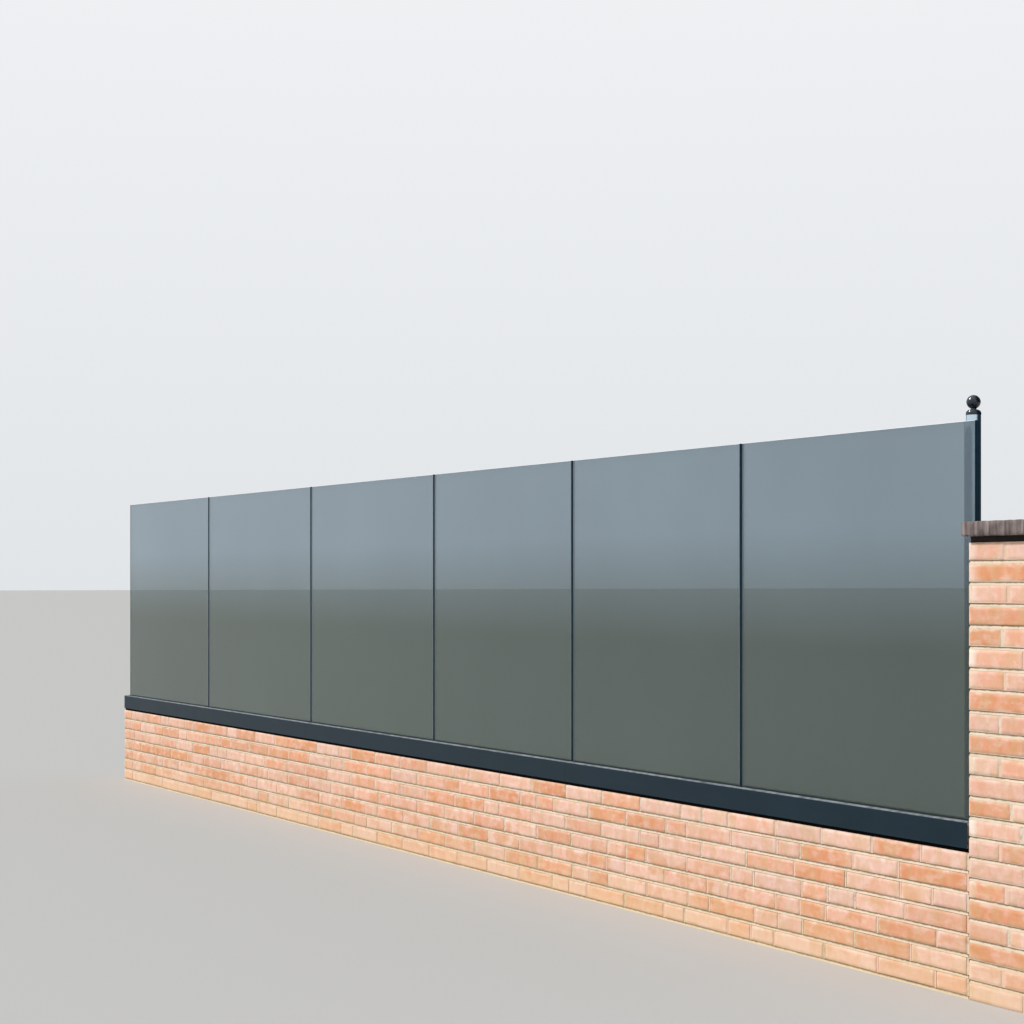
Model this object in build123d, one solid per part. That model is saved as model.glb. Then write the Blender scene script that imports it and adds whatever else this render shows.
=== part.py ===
from build123d import *
import math
import os

# A run of frameless glass panes, clamped in an aluminium base channel on a low
# brick wall, up to a brick pillar with a stone cap. Millimetres, +Z up.
# +X runs along the fence to the pillar, +Y points away from the street side.
# The origin is under the low wall, at the middle of its length and thickness.

# Bays, counted from the free end of the run to the pillar
bay_lengths = (1310.0, 1370.0, 1300.0, 1145.0, 1085.0, 1135.0)
bays_per_channel = 2

# Masonry
brick_height = 53.8
bed_joint = 10.0
wall_courses = 7
wall_thickness = 250.0
pillar_courses = 22
pillar_side = 380.0

# Cap stone on the pillar
cap_bed = 7.0
cap_thickness = 46.0
cap_overhang = 25.0
cap_run_overhang = 8.0
cap_glass_gap = 2.0
cap_edge_round = 3.0
drip_width = 5.0
drip_depth = 4.0
drip_inset = 8.0

# Glass panes
glass_thickness = 17.5
glass_setback = 35.0
glass_visible = 1228.0
pane_gap = 15.0
pillar_gap = 5.5
arris = 1.5

# Black bedding strips between the wall and the channel, either side of the anchors
bed_thickness = 12.0
bed_setback = 6.0
bed_strip_width = 16.0

# Base channel, an extruded U
channel_width = 82.5
channel_height = 79.0
channel_wall = 17.0
channel_web = 7.0
inner_round = 4.0
outer_round = 1.5
ledge_reach = 3.0
ledge_height = 6.0
ledge_drop = 20.0
length_joint = 1.0
channel_end_gap = 6.0

# Clip-on covers in front of and behind the channel
cover_thickness = 2.5
cover_round = 5.0
cover_lip = 9.0
clip_height = 14.0
clip_band = 5.0
clip_depth = 2.5

# Gaskets beside the glass
gasket_depth = 9.0
gasket_crown = 1.5
gasket_round = 1.2

# Seats and wedges that hold the glass
clamp_pitch = 330.0
clamp_length = 90.0
clamp_end_margin = 110.0
seat_thickness = 8.0
seat_upstand = 30.0
wedge_slope = 4.0
wedge_foot = 3.4
jaw_length = 70.0

# Anchor bolts of the channel
anchor_pitch = 420.0
anchor_end_margin = 90.0
anchor_radius = 6.0
anchor_depth = 80.0
anchor_head_across = 19.0
anchor_head_height = 7.5
anchor_washer_radius = 12.0
anchor_washer_thickness = 1.5

# End plate of the channel
end_plate_thickness = 3.0

# End post with its ball, on the wall's top behind the last pane
post_radius = 23.0
post_wall = 3.0
post_from_pillar = 128.0
post_from_front = 155.0
post_above_glass = 30.0
flange_side = 100.0
flange_thickness = 8.0
flange_round = 8.0
flange_bolt_square = 72.0
flange_bolt_radius = 5.0
flange_bolt_depth = 60.0
flange_bolt_head_across = 16.0
flange_bolt_head_height = 6.5
collar_overhang = 0.8
collar_height = 17.0
collar_round = 12.5
neck_radius = 9.0
neck_height = 4.0
neck_round = 2.0
spigot_length = 25.0
ball_radius = 22.0

# Clearances
fit_gap = 0.3
stud_gap = 0.3

# Sizes that follow
course = brick_height + bed_joint
wall_top = wall_courses * course
pillar_top = pillar_courses * course + cap_bed
run_length = sum(bay_lengths)
run_start = -run_length / 2
run_end = run_length / 2
front = -wall_thickness / 2
channel_front = front + cover_thickness
channel_rear = channel_front + channel_width
pocket_front = channel_front + channel_wall
pocket_rear = channel_rear - channel_wall
glass_front = front + glass_setback
glass_rear = glass_front + glass_thickness
base_z = wall_top + bed_thickness
counterbore_depth = anchor_head_height + anchor_washer_thickness + fit_gap
channel_floor = counterbore_depth + channel_web
floor_z = base_z + channel_floor
channel_top = base_z + channel_height
cover_top = channel_top + cover_thickness
glass_foot = floor_z + seat_thickness
glass_top = cover_top + glass_visible
ledge_z = channel_top - ledge_drop
post_x = run_end - post_from_pillar
post_y = front + post_from_front
anchor_y = (pocket_front + pocket_rear) / 2
flange_top = wall_top + flange_thickness
post_top = glass_top + post_above_glass
neck_z = post_top + collar_height
ball_seat = neck_z + neck_height


def outline(points, rounds):
    """Closed outline through the points; rounds maps a corner's number to its radius."""
    face = make_face(Polyline(*points, close=True))
    for number, radius in rounds.items():
        corner = face.vertices().sort_by_distance(Vector(*points[number]))[0]
        face = fillet(corner, radius)
    return face


def run_along(points, rounds, start, end):
    """Extrudes an outline of (y, z) points along the fence, from start to end."""
    return Pos(start, 0, 0) * extrude(Plane.YZ * outline(points, rounds), end - start)


def block(low, high):
    """A plain block between two corners."""
    size = [h - l for l, h in zip(low, high)]
    return Pos(*low) * Box(*size, align=(Align.MIN, Align.MIN, Align.MIN))


def upright(x, y, z, radius, height):
    """A round bar that stands on z."""
    return Pos(x, y, z) * Cylinder(radius, height, align=(Align.CENTER, Align.CENTER, Align.MIN))


def spread(start, end, margin, pitch):
    """Even places between start and end, no further apart than pitch."""
    first = start + margin
    last = end - margin
    count = max(1, math.ceil((last - first) / pitch))
    return [first + (last - first) * i / count for i in range(count + 1)]


def mirror_across(points):
    """The same outline on the other side of the channel's middle."""
    middle = (channel_front + channel_rear) / 2
    return [(2 * middle - y, z) for y, z in points]


def bay_joints():
    """X of each joint between bays, with both ends of the run."""
    joints = [run_start]
    for length in bay_lengths:
        joints.append(joints[-1] + length)
    return joints


def channel_spans():
    """Start and end of each length of channel, joined under a joint between panes."""
    joints = bay_joints()
    cuts = joints[::bays_per_channel]
    if cuts[-1] < run_end:
        cuts.append(run_end)
    cuts[0] += end_plate_thickness
    half = length_joint / 2
    spans = []
    for a, b in zip(cuts[:-1], cuts[1:]):
        low = a if a == cuts[0] else a + half
        high = b - channel_end_gap if b == cuts[-1] else b - half
        spans.append((low, high))
    return spans


def pane_spans():
    """Left and right edge of each pane."""
    joints = bay_joints()
    half = pane_gap / 2
    edges = [(a + half, b - half) for a, b in zip(joints[:-1], joints[1:])]
    edges[-1] = (edges[-1][0], run_end - pillar_gap)
    return edges


def anchor_places(span):
    """X of the anchor bolts in one length of channel."""
    return spread(span[0], span[1], anchor_end_margin, anchor_pitch)


def clamp_places(span):
    """X of the clamps under the panes of one length of channel."""
    places = []
    for low, high in pane_spans():
        middle = (low + high) / 2
        if span[0] < middle < span[1]:
            places += spread(low, high, clamp_end_margin, clamp_pitch)
    return places


def flange_bolt_places():
    """Centres of the post's four flange bolts."""
    half = flange_bolt_square / 2
    return [(post_x + i * half, post_y + j * half) for i in (-1, 1) for j in (-1, 1)]


def low_wall():
    """The wall under the fence, with the anchors' drilled holes in its top."""
    wall = block((run_start, front, 0), (run_end, front + wall_thickness, wall_top))
    hole = anchor_radius + stud_gap
    for span in channel_spans():
        for x in anchor_places(span):
            wall -= upright(x, anchor_y, wall_top - anchor_depth, hole, anchor_depth)
    for x, y in flange_bolt_places():
        hole = flange_bolt_radius + stud_gap
        wall -= upright(x, y, wall_top - flange_bolt_depth, hole, flange_bolt_depth)
    return wall


def pillar():
    """The pillar at the end of the run, its front in line with the wall's."""
    return block((run_end, front, 0), (run_end + pillar_side, front + pillar_side, pillar_top))


def pillar_cap():
    """Cap stone with eased edges and drip grooves, slotted where the last pane passes it."""
    left = run_end - cap_run_overhang
    right = run_end + pillar_side + cap_overhang
    near = front - cap_overhang
    far = front + pillar_side + cap_overhang
    slab = block((left, near, pillar_top), (right, far, pillar_top + cap_thickness))
    slab = fillet(slab.edges().filter_by(Axis.Z), cap_edge_round)
    slab = fillet(slab.faces().sort_by(Axis.Z)[-1].edges(), cap_edge_round)
    groove_top = pillar_top + drip_depth
    for edge, inward in ((near, 1), (far, -1)):
        outer = edge + inward * drip_inset
        inner = outer + inward * drip_width
        low = (left, min(outer, inner), pillar_top)
        high = (right - drip_inset, max(outer, inner), groove_top)
        slab -= block(low, high)
    side_groove = right - drip_inset
    slab -= block(
        (side_groove - drip_width, near + drip_inset, pillar_top),
        (side_groove, far - drip_inset, groove_top),
    )
    slot_end = run_end - pillar_gap + cap_glass_gap
    slot_near = glass_front - cap_glass_gap
    slot_far = glass_rear + cap_glass_gap
    slab -= block((left, slot_near, pillar_top), (slot_end, slot_far, pillar_top + cap_thickness))
    return slab


def glass_pane(span):
    """One pane of laminated glass, with its arris ground off all round."""
    pane = block((span[0], glass_front, glass_foot), (span[1], glass_rear, glass_top))
    edges = pane.faces().sort_by(Axis.Y)[0].edges() + pane.faces().sort_by(Axis.Y)[-1].edges()
    return chamfer(edges, arris)


def base_channel(span):
    """One length of the U extrusion, with clip grooves, clamp ledge and counterbored bolt holes."""
    low_clip = base_z + clip_height
    high_clip = low_clip + clip_band
    clip_front = channel_front + clip_depth
    clip_rear = channel_rear - clip_depth
    ledge_tip = pocket_rear - ledge_reach
    points = [
        (channel_front, base_z),
        (channel_rear, base_z),
        (channel_rear, low_clip),
        (clip_rear, low_clip),
        (clip_rear, high_clip),
        (channel_rear, high_clip),
        (channel_rear, channel_top),
        (pocket_rear, channel_top),
        (pocket_rear, ledge_z + ledge_height),
        (ledge_tip, ledge_z + ledge_reach),
        (ledge_tip, ledge_z),
        (pocket_rear, ledge_z),
        (pocket_rear, floor_z),
        (pocket_front, floor_z),
        (pocket_front, channel_top),
        (channel_front, channel_top),
        (channel_front, high_clip),
        (clip_front, high_clip),
        (clip_front, low_clip),
        (channel_front, low_clip),
    ]
    rounds = {6: outer_round, 12: inner_round, 13: inner_round, 15: outer_round}
    channel = run_along(points, rounds, span[0], span[1])
    bore = anchor_washer_radius + fit_gap
    for x in anchor_places(span):
        channel -= upright(x, anchor_y, base_z, anchor_radius + stud_gap, channel_floor)
        channel -= upright(x, anchor_y, floor_z - counterbore_depth, bore, counterbore_depth)
    return channel


def cover_points():
    """Outline of the front cover: face, clip rib, top leg and the lip down into the pocket."""
    face_in = front + cover_thickness
    rib = face_in + clip_depth - fit_gap
    rib_low = base_z + clip_height + fit_gap
    rib_high = base_z + clip_height + clip_band - fit_gap
    lip_out = pocket_front + cover_thickness
    return [
        (front, base_z),
        (face_in, base_z),
        (face_in, rib_low),
        (rib, rib_low + clip_depth / 2),
        (rib, rib_high),
        (face_in, rib_high),
        (face_in, channel_top),
        (pocket_front, channel_top),
        (pocket_front, cover_top - cover_lip),
        (lip_out, cover_top - cover_lip),
        (lip_out, cover_top),
        (front, cover_top),
    ]


def front_cover(span):
    """Clip-on cover over the channel's front, flush with the wall's face."""
    return run_along(cover_points(), {11: cover_round}, span[0], span[1])


def rear_cover(span):
    """The same cover on the garden side."""
    return run_along(mirror_across(cover_points()), {11: cover_round}, span[0], span[1])


def gasket(glass_y, lip_y, span):
    """Rubber strip wedged between a pane and the cover's lip, crowned above the cover."""
    side = math.copysign(1, lip_y - glass_y)
    near = glass_y + side * fit_gap
    far = lip_y - side * fit_gap
    points = [
        (near, cover_top - gasket_depth),
        (far - side * gasket_crown, cover_top - gasket_depth),
        (far, cover_top - gasket_depth / 2),
        (far, cover_top),
        (near, cover_top + gasket_crown),
    ]
    return run_along(points, {4: gasket_round}, span[0], span[1])


def bed_strips(span):
    """The two bedding strips that level the channel on the bricks."""
    near = front + bed_setback
    far = channel_rear + cover_thickness - bed_setback
    return [
        block((span[0], near, wall_top), (span[1], near + bed_strip_width, base_z)),
        block((span[0], far - bed_strip_width, wall_top), (span[1], far, base_z)),
    ]


def anchor_bolt(x, y, head_z, bolt_radius, depth, across, head_height):
    """Hexagon bolt whose head sits on head_z and whose shank goes down by depth."""
    head = Pos(x, y, head_z) * extrude(RegularPolygon(across / 2, 6, major_radius=False), head_height)
    return head + upright(x, y, head_z - depth, bolt_radius, depth)


def channel_anchors(span):
    """Anchor bolts with washers, through the channel's floor into the wall."""
    seat_z = floor_z - counterbore_depth
    head_z = seat_z + anchor_washer_thickness
    depth = head_z - wall_top + anchor_depth - fit_gap
    bolts = []
    for x in anchor_places(span):
        bolt = anchor_bolt(x, anchor_y, head_z, anchor_radius, depth, anchor_head_across, anchor_head_height)
        washer = upright(x, anchor_y, seat_z, anchor_washer_radius, anchor_washer_thickness)
        bolts.append(bolt + washer)
    return bolts


def clamp_section(kind):
    """Outlines of the three clamp pieces: the seat under the glass, the jaw and the wedge behind it."""
    seat_top = glass_foot
    back = pocket_rear - fit_gap
    jaw_top = ledge_z - fit_gap
    lean = math.tan(math.radians(wedge_slope)) * (jaw_top - seat_top)
    slope_low = glass_rear + fit_gap + wedge_foot
    slope_high = slope_low + lean
    if kind == "seat":
        ease = inner_round
        return [
            (pocket_front + fit_gap + ease, floor_z),
            (back - ease, floor_z),
            (back, floor_z + ease),
            (back, seat_top),
            (glass_front - fit_gap, seat_top),
            (glass_front - fit_gap, seat_top + seat_upstand),
            (pocket_front + fit_gap, seat_top + seat_upstand),
            (pocket_front + fit_gap, floor_z + ease),
        ]
    if kind == "jaw":
        return [
            (slope_low + fit_gap, seat_top),
            (back, seat_top),
            (back, jaw_top),
            (slope_high + fit_gap, jaw_top),
        ]
    return [
        (glass_rear + fit_gap, seat_top + fit_gap),
        (slope_low, seat_top + fit_gap),
        (slope_high, jaw_top),
        (glass_rear + fit_gap, jaw_top),
    ]


def clamp_pieces(kind, length, span):
    """One kind of clamp piece at every clamp of a length of channel."""
    half = length / 2
    return [run_along(clamp_section(kind), {}, x - half, x + half) for x in clamp_places(span)]


def channel_end_plate():
    """Plate that closes the channel at the free end of the run."""
    points = [
        (front, base_z),
        (channel_rear + cover_thickness, base_z),
        (channel_rear + cover_thickness, cover_top),
        (front, cover_top),
    ]
    rounds = {2: cover_round, 3: cover_round}
    return run_along(points, rounds, run_start, run_start + end_plate_thickness)


def post_flange():
    """Square foot plate of the end post, with four bolt holes."""
    plate = RectangleRounded(flange_side, flange_side, flange_round)
    plate = Pos(post_x, post_y, wall_top) * extrude(plate, flange_thickness)
    for x, y in flange_bolt_places():
        plate -= upright(x, y, wall_top, flange_bolt_radius + stud_gap, flange_thickness)
    return plate


def post_bolts():
    """The four bolts of the foot plate, into the wall."""
    depth = flange_thickness + flange_bolt_depth - fit_gap
    return [
        anchor_bolt(x, y, flange_top, flange_bolt_radius, depth, flange_bolt_head_across, flange_bolt_head_height)
        for x, y in flange_bolt_places()
    ]


def end_post():
    """Round tube that stands on the foot plate."""
    height = post_top - flange_top
    tube = upright(post_x, post_y, flange_top, post_radius, height)
    return tube - upright(post_x, post_y, flange_top, post_radius - post_wall, height)


def post_collar():
    """Turned cap of the post: a spigot down into the tube, a round shoulder and a neck."""
    bore = post_radius - post_wall - fit_gap
    rim = post_radius + collar_overhang
    points = [
        (0, post_top - spigot_length),
        (bore, post_top - spigot_length),
        (bore, post_top),
        (rim, post_top),
        (rim, neck_z),
        (neck_radius, neck_z),
        (neck_radius, ball_seat),
        (0, ball_seat),
    ]
    profile = outline(points, {4: collar_round, 5: neck_round})
    return Pos(post_x, post_y, 0) * revolve(Plane.XZ * profile, Axis.Z)


def ball_finial():
    """Ball on the neck, cut flat where it seats."""
    rise = math.sqrt(ball_radius ** 2 - neck_radius ** 2)
    ball = Pos(post_x, post_y, ball_seat + rise) * Sphere(ball_radius)
    return ball - block(
        (post_x - ball_radius, post_y - ball_radius, ball_seat - ball_radius),
        (post_x + ball_radius, post_y + ball_radius, ball_seat),
    )


def write(name, shape):
    """Writes one node's STEP file."""
    solids = shape if isinstance(shape, list) else [shape]
    part = Compound(children=solids) if len(solids) > 1 else solids[0]
    export_step(part, f"parts/{name}.step")


os.makedirs("parts", exist_ok=True)

write("low_wall", low_wall())
write("pillar", pillar())
write("pillar_cap", pillar_cap())

for number, span in enumerate(pane_spans(), start=1):
    write(f"glass_pane_{number}", glass_pane(span))

for number, span in enumerate(channel_spans(), start=1):
    write(f"bed_strips_{number}", bed_strips(span))
    write(f"base_channel_{number}", base_channel(span))
    write(f"front_cover_{number}", front_cover(span))
    write(f"rear_cover_{number}", rear_cover(span))
    write(f"anchor_bolts_{number}", channel_anchors(span))
    write(f"glass_seats_{number}", clamp_pieces("seat", clamp_length, span))
    write(f"clamp_jaws_{number}", clamp_pieces("jaw", jaw_length, span))
    write(f"clamp_wedges_{number}", clamp_pieces("wedge", jaw_length, span))

gasket_span = (channel_spans()[0][0], channel_spans()[-1][1])
rear_lip = pocket_rear - cover_thickness
write("front_gasket", gasket(glass_front, pocket_front + cover_thickness, gasket_span))
write("rear_gasket", gasket(glass_rear, rear_lip, gasket_span))
write("channel_end_plate", channel_end_plate())

write("post_flange", post_flange())
write("post_bolts", post_bolts())
write("end_post", end_post())
write("post_collar", post_collar())
write("ball_finial", ball_finial())
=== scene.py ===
import math
import random

import bmesh
import bpy
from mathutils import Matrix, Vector


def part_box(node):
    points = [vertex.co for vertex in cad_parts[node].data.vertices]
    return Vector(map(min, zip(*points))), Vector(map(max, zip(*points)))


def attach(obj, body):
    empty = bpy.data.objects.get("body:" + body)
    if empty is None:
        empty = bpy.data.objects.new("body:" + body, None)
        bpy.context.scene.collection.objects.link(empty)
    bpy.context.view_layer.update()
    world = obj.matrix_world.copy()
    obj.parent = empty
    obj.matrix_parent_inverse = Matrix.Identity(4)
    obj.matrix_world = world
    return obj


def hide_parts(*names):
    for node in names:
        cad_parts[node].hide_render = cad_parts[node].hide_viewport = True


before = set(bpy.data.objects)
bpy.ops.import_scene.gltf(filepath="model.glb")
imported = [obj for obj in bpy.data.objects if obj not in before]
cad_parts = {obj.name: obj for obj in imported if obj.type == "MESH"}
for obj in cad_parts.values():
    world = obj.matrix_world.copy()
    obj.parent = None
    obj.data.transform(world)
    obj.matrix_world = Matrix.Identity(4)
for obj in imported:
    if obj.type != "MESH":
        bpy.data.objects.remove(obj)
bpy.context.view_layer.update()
body = "root"
mm = 0.001
hair = 1e-6  # metres; anything shorter counts as nothing

wallLow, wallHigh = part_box("low_wall")
pillarLow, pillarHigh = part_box("pillar")
capLow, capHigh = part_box("pillar_cap")
paneLow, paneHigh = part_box("glass_pane_1")
lastLow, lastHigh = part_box("glass_pane_6")
postLow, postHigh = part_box("end_post")
streetY = wallLow.y  # the street face of wall, pillar and cover
runEnd = pillarLow.x  # where the fence meets the pillar


def nodesNamed(start):
    return sorted(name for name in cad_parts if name.startswith(start))


def newObject(name, data):
    made = bpy.data.objects.new(name, data)
    bpy.context.collection.objects.link(made)
    return made


def tint(r, g, b):
    # a colour as a screen shows it, 0 to 255, for a shader socket
    parts = [c / 255 for c in (r, g, b)]
    return tuple(c / 12.92 if c <= 0.04045 else ((c + 0.055) / 1.055) ** 2.4 for c in parts) + (1.0,)


# Node helpers

def feed(tree, socket, value):
    if isinstance(value, bpy.types.NodeSocket):
        tree.links.new(value, socket)
    else:
        socket.default_value = value


def put(tree, kind, sockets=None, **settings):
    node = tree.nodes.new("ShaderNode" + kind)
    for key, value in settings.items():
        setattr(node, key, value)
    for key, value in (sockets or {}).items():
        feed(tree, node.inputs[key], value)
    return node


def maths(tree, operation, a, b=0.0, clamp=False):
    return put(tree, "Math", {0: a, 1: b}, operation=operation, use_clamp=clamp).outputs[0]


def remap(tree, value, low, high, toLow=0.0, toHigh=1.0):
    sockets = {"Value": value, "From Min": low, "From Max": high, "To Min": toLow, "To Max": toHigh}
    return put(tree, "MapRange", sockets, clamp=True).outputs["Result"]


def blendColour(tree, amount, a, b, mode="MIX"):
    node = put(tree, "Mix", data_type="RGBA", blend_type=mode)
    feed(tree, node.inputs[0], amount)
    feed(tree, node.inputs[6], a)
    feed(tree, node.inputs[7], b)
    return node.outputs[2]


def layOver(tree, base, mask, overlay):
    # an overlay is a colour and the share of it that lies on the base where the mask is 1
    colour, share = overlay
    return blendColour(tree, maths(tree, "MULTIPLY", mask, share), base, colour)


def ramp(tree, value, stops):
    node = put(tree, "ValToRGB", {"Fac": value})
    elements = node.color_ramp.elements
    while len(elements) < len(stops):
        elements.new(0.5)
    for element, (position, colour) in zip(elements, stops):
        element.position = position
        element.color = colour
    return node.outputs["Color"]


def attribute(tree, name):
    return put(tree, "Attribute", attribute_name=name, attribute_type="GEOMETRY").outputs["Fac"]


def along(tree, axis, kind="Position"):
    # one axis of the place, or of the normal, of what is being shaded
    return put(tree, "SeparateXYZ", {"Vector": put(tree, "NewGeometry").outputs[kind]}).outputs[axis]


def distanceFrom(tree, axis, middle):
    return maths(tree, "ABSOLUTE", maths(tree, "SUBTRACT", along(tree, axis), middle))


def bump(tree, height, strength, distance, normal=None):
    sockets = {"Height": height, "Strength": strength, "Distance": distance}
    if normal is not None:
        sockets["Normal"] = normal
    return put(tree, "Bump", sockets).outputs["Normal"]


def brightness(tree, colour, level):
    grey = put(tree, "CombineColor", {0: level, 1: level, 2: level}).outputs[0]
    return blendColour(tree, 1.0, colour, grey, "MULTIPLY")


def newGroup(name, inputs, outputs):
    group = bpy.data.node_groups.new(name, "ShaderNodeTree")
    for label, value in inputs.items():
        socket = group.interface.new_socket(label, in_out="INPUT", socket_type="NodeSocketFloat")
        socket.default_value = value
    for label in outputs:
        group.interface.new_socket(label, in_out="OUTPUT", socket_type="NodeSocketFloat")
    start = group.nodes.new("NodeGroupInput")
    end = group.nodes.new("NodeGroupOutput")
    return group, start.outputs, end.inputs


def place(tree, group, **values):
    node = tree.nodes.new("ShaderNodeGroup")
    node.node_tree = group
    for key, value in values.items():
        feed(tree, node.inputs[key], value)
    return node.outputs


def stretched(tree, across, up, shift=0.0):
    # the object's own coordinates, scaled across and upwards, and moved by shift
    scale = put(tree, "CombineXYZ", {"X": across, "Y": across, "Z": up}).outputs[0]
    point = put(tree, "TexCoord").outputs["Object"]
    point = put(tree, "Mapping", {"Vector": point, "Scale": scale}).outputs["Vector"]
    moved = put(tree, "CombineXYZ", {"X": shift, "Y": shift, "Z": shift}).outputs[0]
    return put(tree, "VectorMath", {0: point, 1: moved}, operation="ADD").outputs["Vector"]


# Effects that several finishes share

def makeMottle():
    # soft patches of tone; Shift gives each brick its own
    inputs = {"Patch": 12.0, "Upright": 1.0, "Contrast": 0.5, "Shift": 0.0}
    group, given, out = newGroup("mottle", inputs, ["Value"])
    up = maths(group, "DIVIDE", given["Patch"], given["Upright"])
    point = stretched(group, given["Patch"], up, given["Shift"])
    cloud = put(group, "TexNoise", {"Vector": point, "Scale": 1.0, "Detail": 4.0, "Roughness": 0.55})
    low = maths(group, "MULTIPLY", given["Contrast"], 0.5)
    spread = remap(group, cloud.outputs["Fac"], low, maths(group, "SUBTRACT", 1.0, low))
    feed(group, out["Value"], spread)
    return group


def makeGrain():
    # mineral or moulded grain, with pits
    group, given, out = newGroup("grain", {"Fineness": 600.0, "Pits": 0.3}, ["Value", "Height"])
    point = put(group, "TexCoord").outputs["Object"]
    sockets = {"Vector": point, "Scale": given["Fineness"], "Detail": 3.0, "Roughness": 0.7}
    sand = put(group, "TexNoise", sockets).outputs["Fac"]
    coarse = maths(group, "MULTIPLY", given["Fineness"], 0.16)
    pit = put(group, "TexVoronoi", {"Vector": point, "Scale": coarse, "Randomness": 1.0})
    hole = remap(group, pit.outputs["Distance"], 0.05, 0.32)
    sunk = maths(group, "MULTIPLY", maths(group, "SUBTRACT", 1.0, hole), given["Pits"])
    feed(group, out["Value"], sand)
    feed(group, out["Height"], maths(group, "SUBTRACT", sand, sunk))
    return group


def makeStreaks():
    # what rain draws down an upright face
    inputs = {"Fineness": 90.0, "Length": 12.0, "Cover": 0.5}
    group, given, out = newGroup("rainStreaks", inputs, ["Mask"])
    up = maths(group, "DIVIDE", given["Fineness"], given["Length"])
    point = stretched(group, given["Fineness"], up)
    run = put(group, "TexNoise", {"Vector": point, "Scale": 1.0, "Detail": 3.0, "Roughness": 0.5})
    low = maths(group, "SUBTRACT", 0.85, maths(group, "MULTIPLY", given["Cover"], 0.5))
    feed(group, out["Mask"], remap(group, run.outputs["Fac"], low, maths(group, "ADD", low, 0.25)))
    return group


def makeGroundSplash():
    # 1 at the ground, fading out at Reach metres
    group, given, out = newGroup("groundSplash", {"Reach": 0.15, "Ragged": 0.05}, ["Mask"])
    point = put(group, "NewGeometry").outputs["Position"]
    cloud = put(group, "TexNoise", {"Vector": point, "Scale": 7.0, "Detail": 4.0}).outputs["Fac"]
    shift = maths(group, "MULTIPLY", maths(group, "SUBTRACT", cloud, 0.5), given["Ragged"])
    shift = maths(group, "MULTIPLY", shift, 4.0)
    level = maths(group, "DIVIDE", maths(group, "ADD", along(group, "Z"), shift), given["Reach"])
    feed(group, out["Mask"], maths(group, "SUBTRACT", 1.0, level, clamp=True))
    return group


def brokenUp(group, mask, amount, fineness, detail, low, high):
    # a mask in ragged patches, by no more than amount
    point = put(group, "NewGeometry").outputs["Position"]
    cloud = put(group, "TexNoise", {"Vector": point, "Scale": fineness, "Detail": detail}).outputs["Fac"]
    patch = remap(group, cloud, low, high)
    return maths(group, "MULTIPLY", maths(group, "MULTIPLY", mask, patch), amount)


def makeTopDustAndHighlight():
    # dust that settles on what faces up; laid on strongly, as on the covers, it is a painted highlight
    # along the top faces
    group, given, out = newGroup("topDust", {"Amount": 0.6, "Fineness": 60.0}, ["Mask"])
    facing = remap(group, along(group, "Z", "Normal"), 0.25, 0.9)
    fineness = given["Fineness"]
    settled = brokenUp(group, facing, given["Amount"], fineness, detail=5.0, low=0.2, high=0.6)
    feed(group, out["Mask"], settled)
    return group


def makeEdgeWear():
    # 1 along the corners of a piece, broken up
    group, given, out = newGroup("edgeWear", {"Reach": 0.002, "Amount": 0.5}, ["Mask"])
    normal = put(group, "NewGeometry").outputs["Normal"]
    softened = put(group, "Bevel", {"Radius": given["Reach"]}, samples=4).outputs["Normal"]
    dot = put(group, "VectorMath", {0: softened, 1: normal}, operation="DOT_PRODUCT").outputs["Value"]
    edge = remap(group, dot, 0.995, 0.9)
    worn = brokenUp(group, edge, given["Amount"], fineness=140.0, detail=4.0, low=0.4, high=0.62)
    feed(group, out["Mask"], worn)
    return group


mottle = makeMottle()
grain = makeGrain()
rainStreaks = makeStreaks()
groundSplash = makeGroundSplash()
topDust = makeTopDustAndHighlight()
edgeWear = makeEdgeWear()
print("shared effects ready")


def patches(tree, patch, upright=1.0, contrast=0.5, shift=0.0):
    return place(tree, mottle, Patch=patch, Upright=upright, Contrast=contrast, Shift=shift)["Value"]


def streaks(tree, fineness, length, cover):
    return place(tree, rainStreaks, Fineness=fineness, Length=length, Cover=cover)["Mask"]


def splashed(tree, reach, ragged):
    return place(tree, groundSplash, Reach=reach, Ragged=ragged)["Mask"]


def withTopDustAndHighlight(tree, base, colour, amount, fineness):
    return blendColour(tree, place(tree, topDust, Amount=amount, Fineness=fineness)["Mask"], base, colour)


def rubbed(tree, base, colour, amount, reach):
    return blendColour(tree, place(tree, edgeWear, Reach=reach, Amount=amount)["Mask"], base, colour)


def newFinish(name, sockets):
    material = bpy.data.materials.new(name)
    material.use_nodes = True
    tree = material.node_tree
    shader = tree.nodes["Principled BSDF"]
    for key, value in sockets.items():
        shader.inputs[key].default_value = value
    return material, tree, shader.inputs


def dress(name, finish):
    # gives a CAD node its finish
    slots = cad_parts[name].data.materials
    slots.clear()
    slots.append(finish)


def finishPiece(piece, replaced=()):
    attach(piece, body)
    if replaced:
        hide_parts(*replaced)


# Camera, light and floor

view = {
    "lens": 64.44,
    "sensor": 36.0,
    "turn": math.radians(58.033),  # away from square on, towards the free end
    "right": 4.0017,  # from the pillar's near corner
    "back": 4.1365,
    "height": 1.274,
    "shift": 0.0678,
    "farthest": 600.0,
}


def makeCamera():
    data = bpy.data.cameras.new("camera")
    data.lens = view["lens"]
    data.sensor_width = view["sensor"]
    data.shift_y = view["shift"]
    data.clip_end = view["farthest"]
    camera = newObject("camera", data)
    camera.location = (runEnd + view["right"], streetY - view["back"], view["height"])
    camera.rotation_euler = (math.pi / 2, 0.0, view["turn"])
    bpy.context.scene.camera = camera


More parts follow.
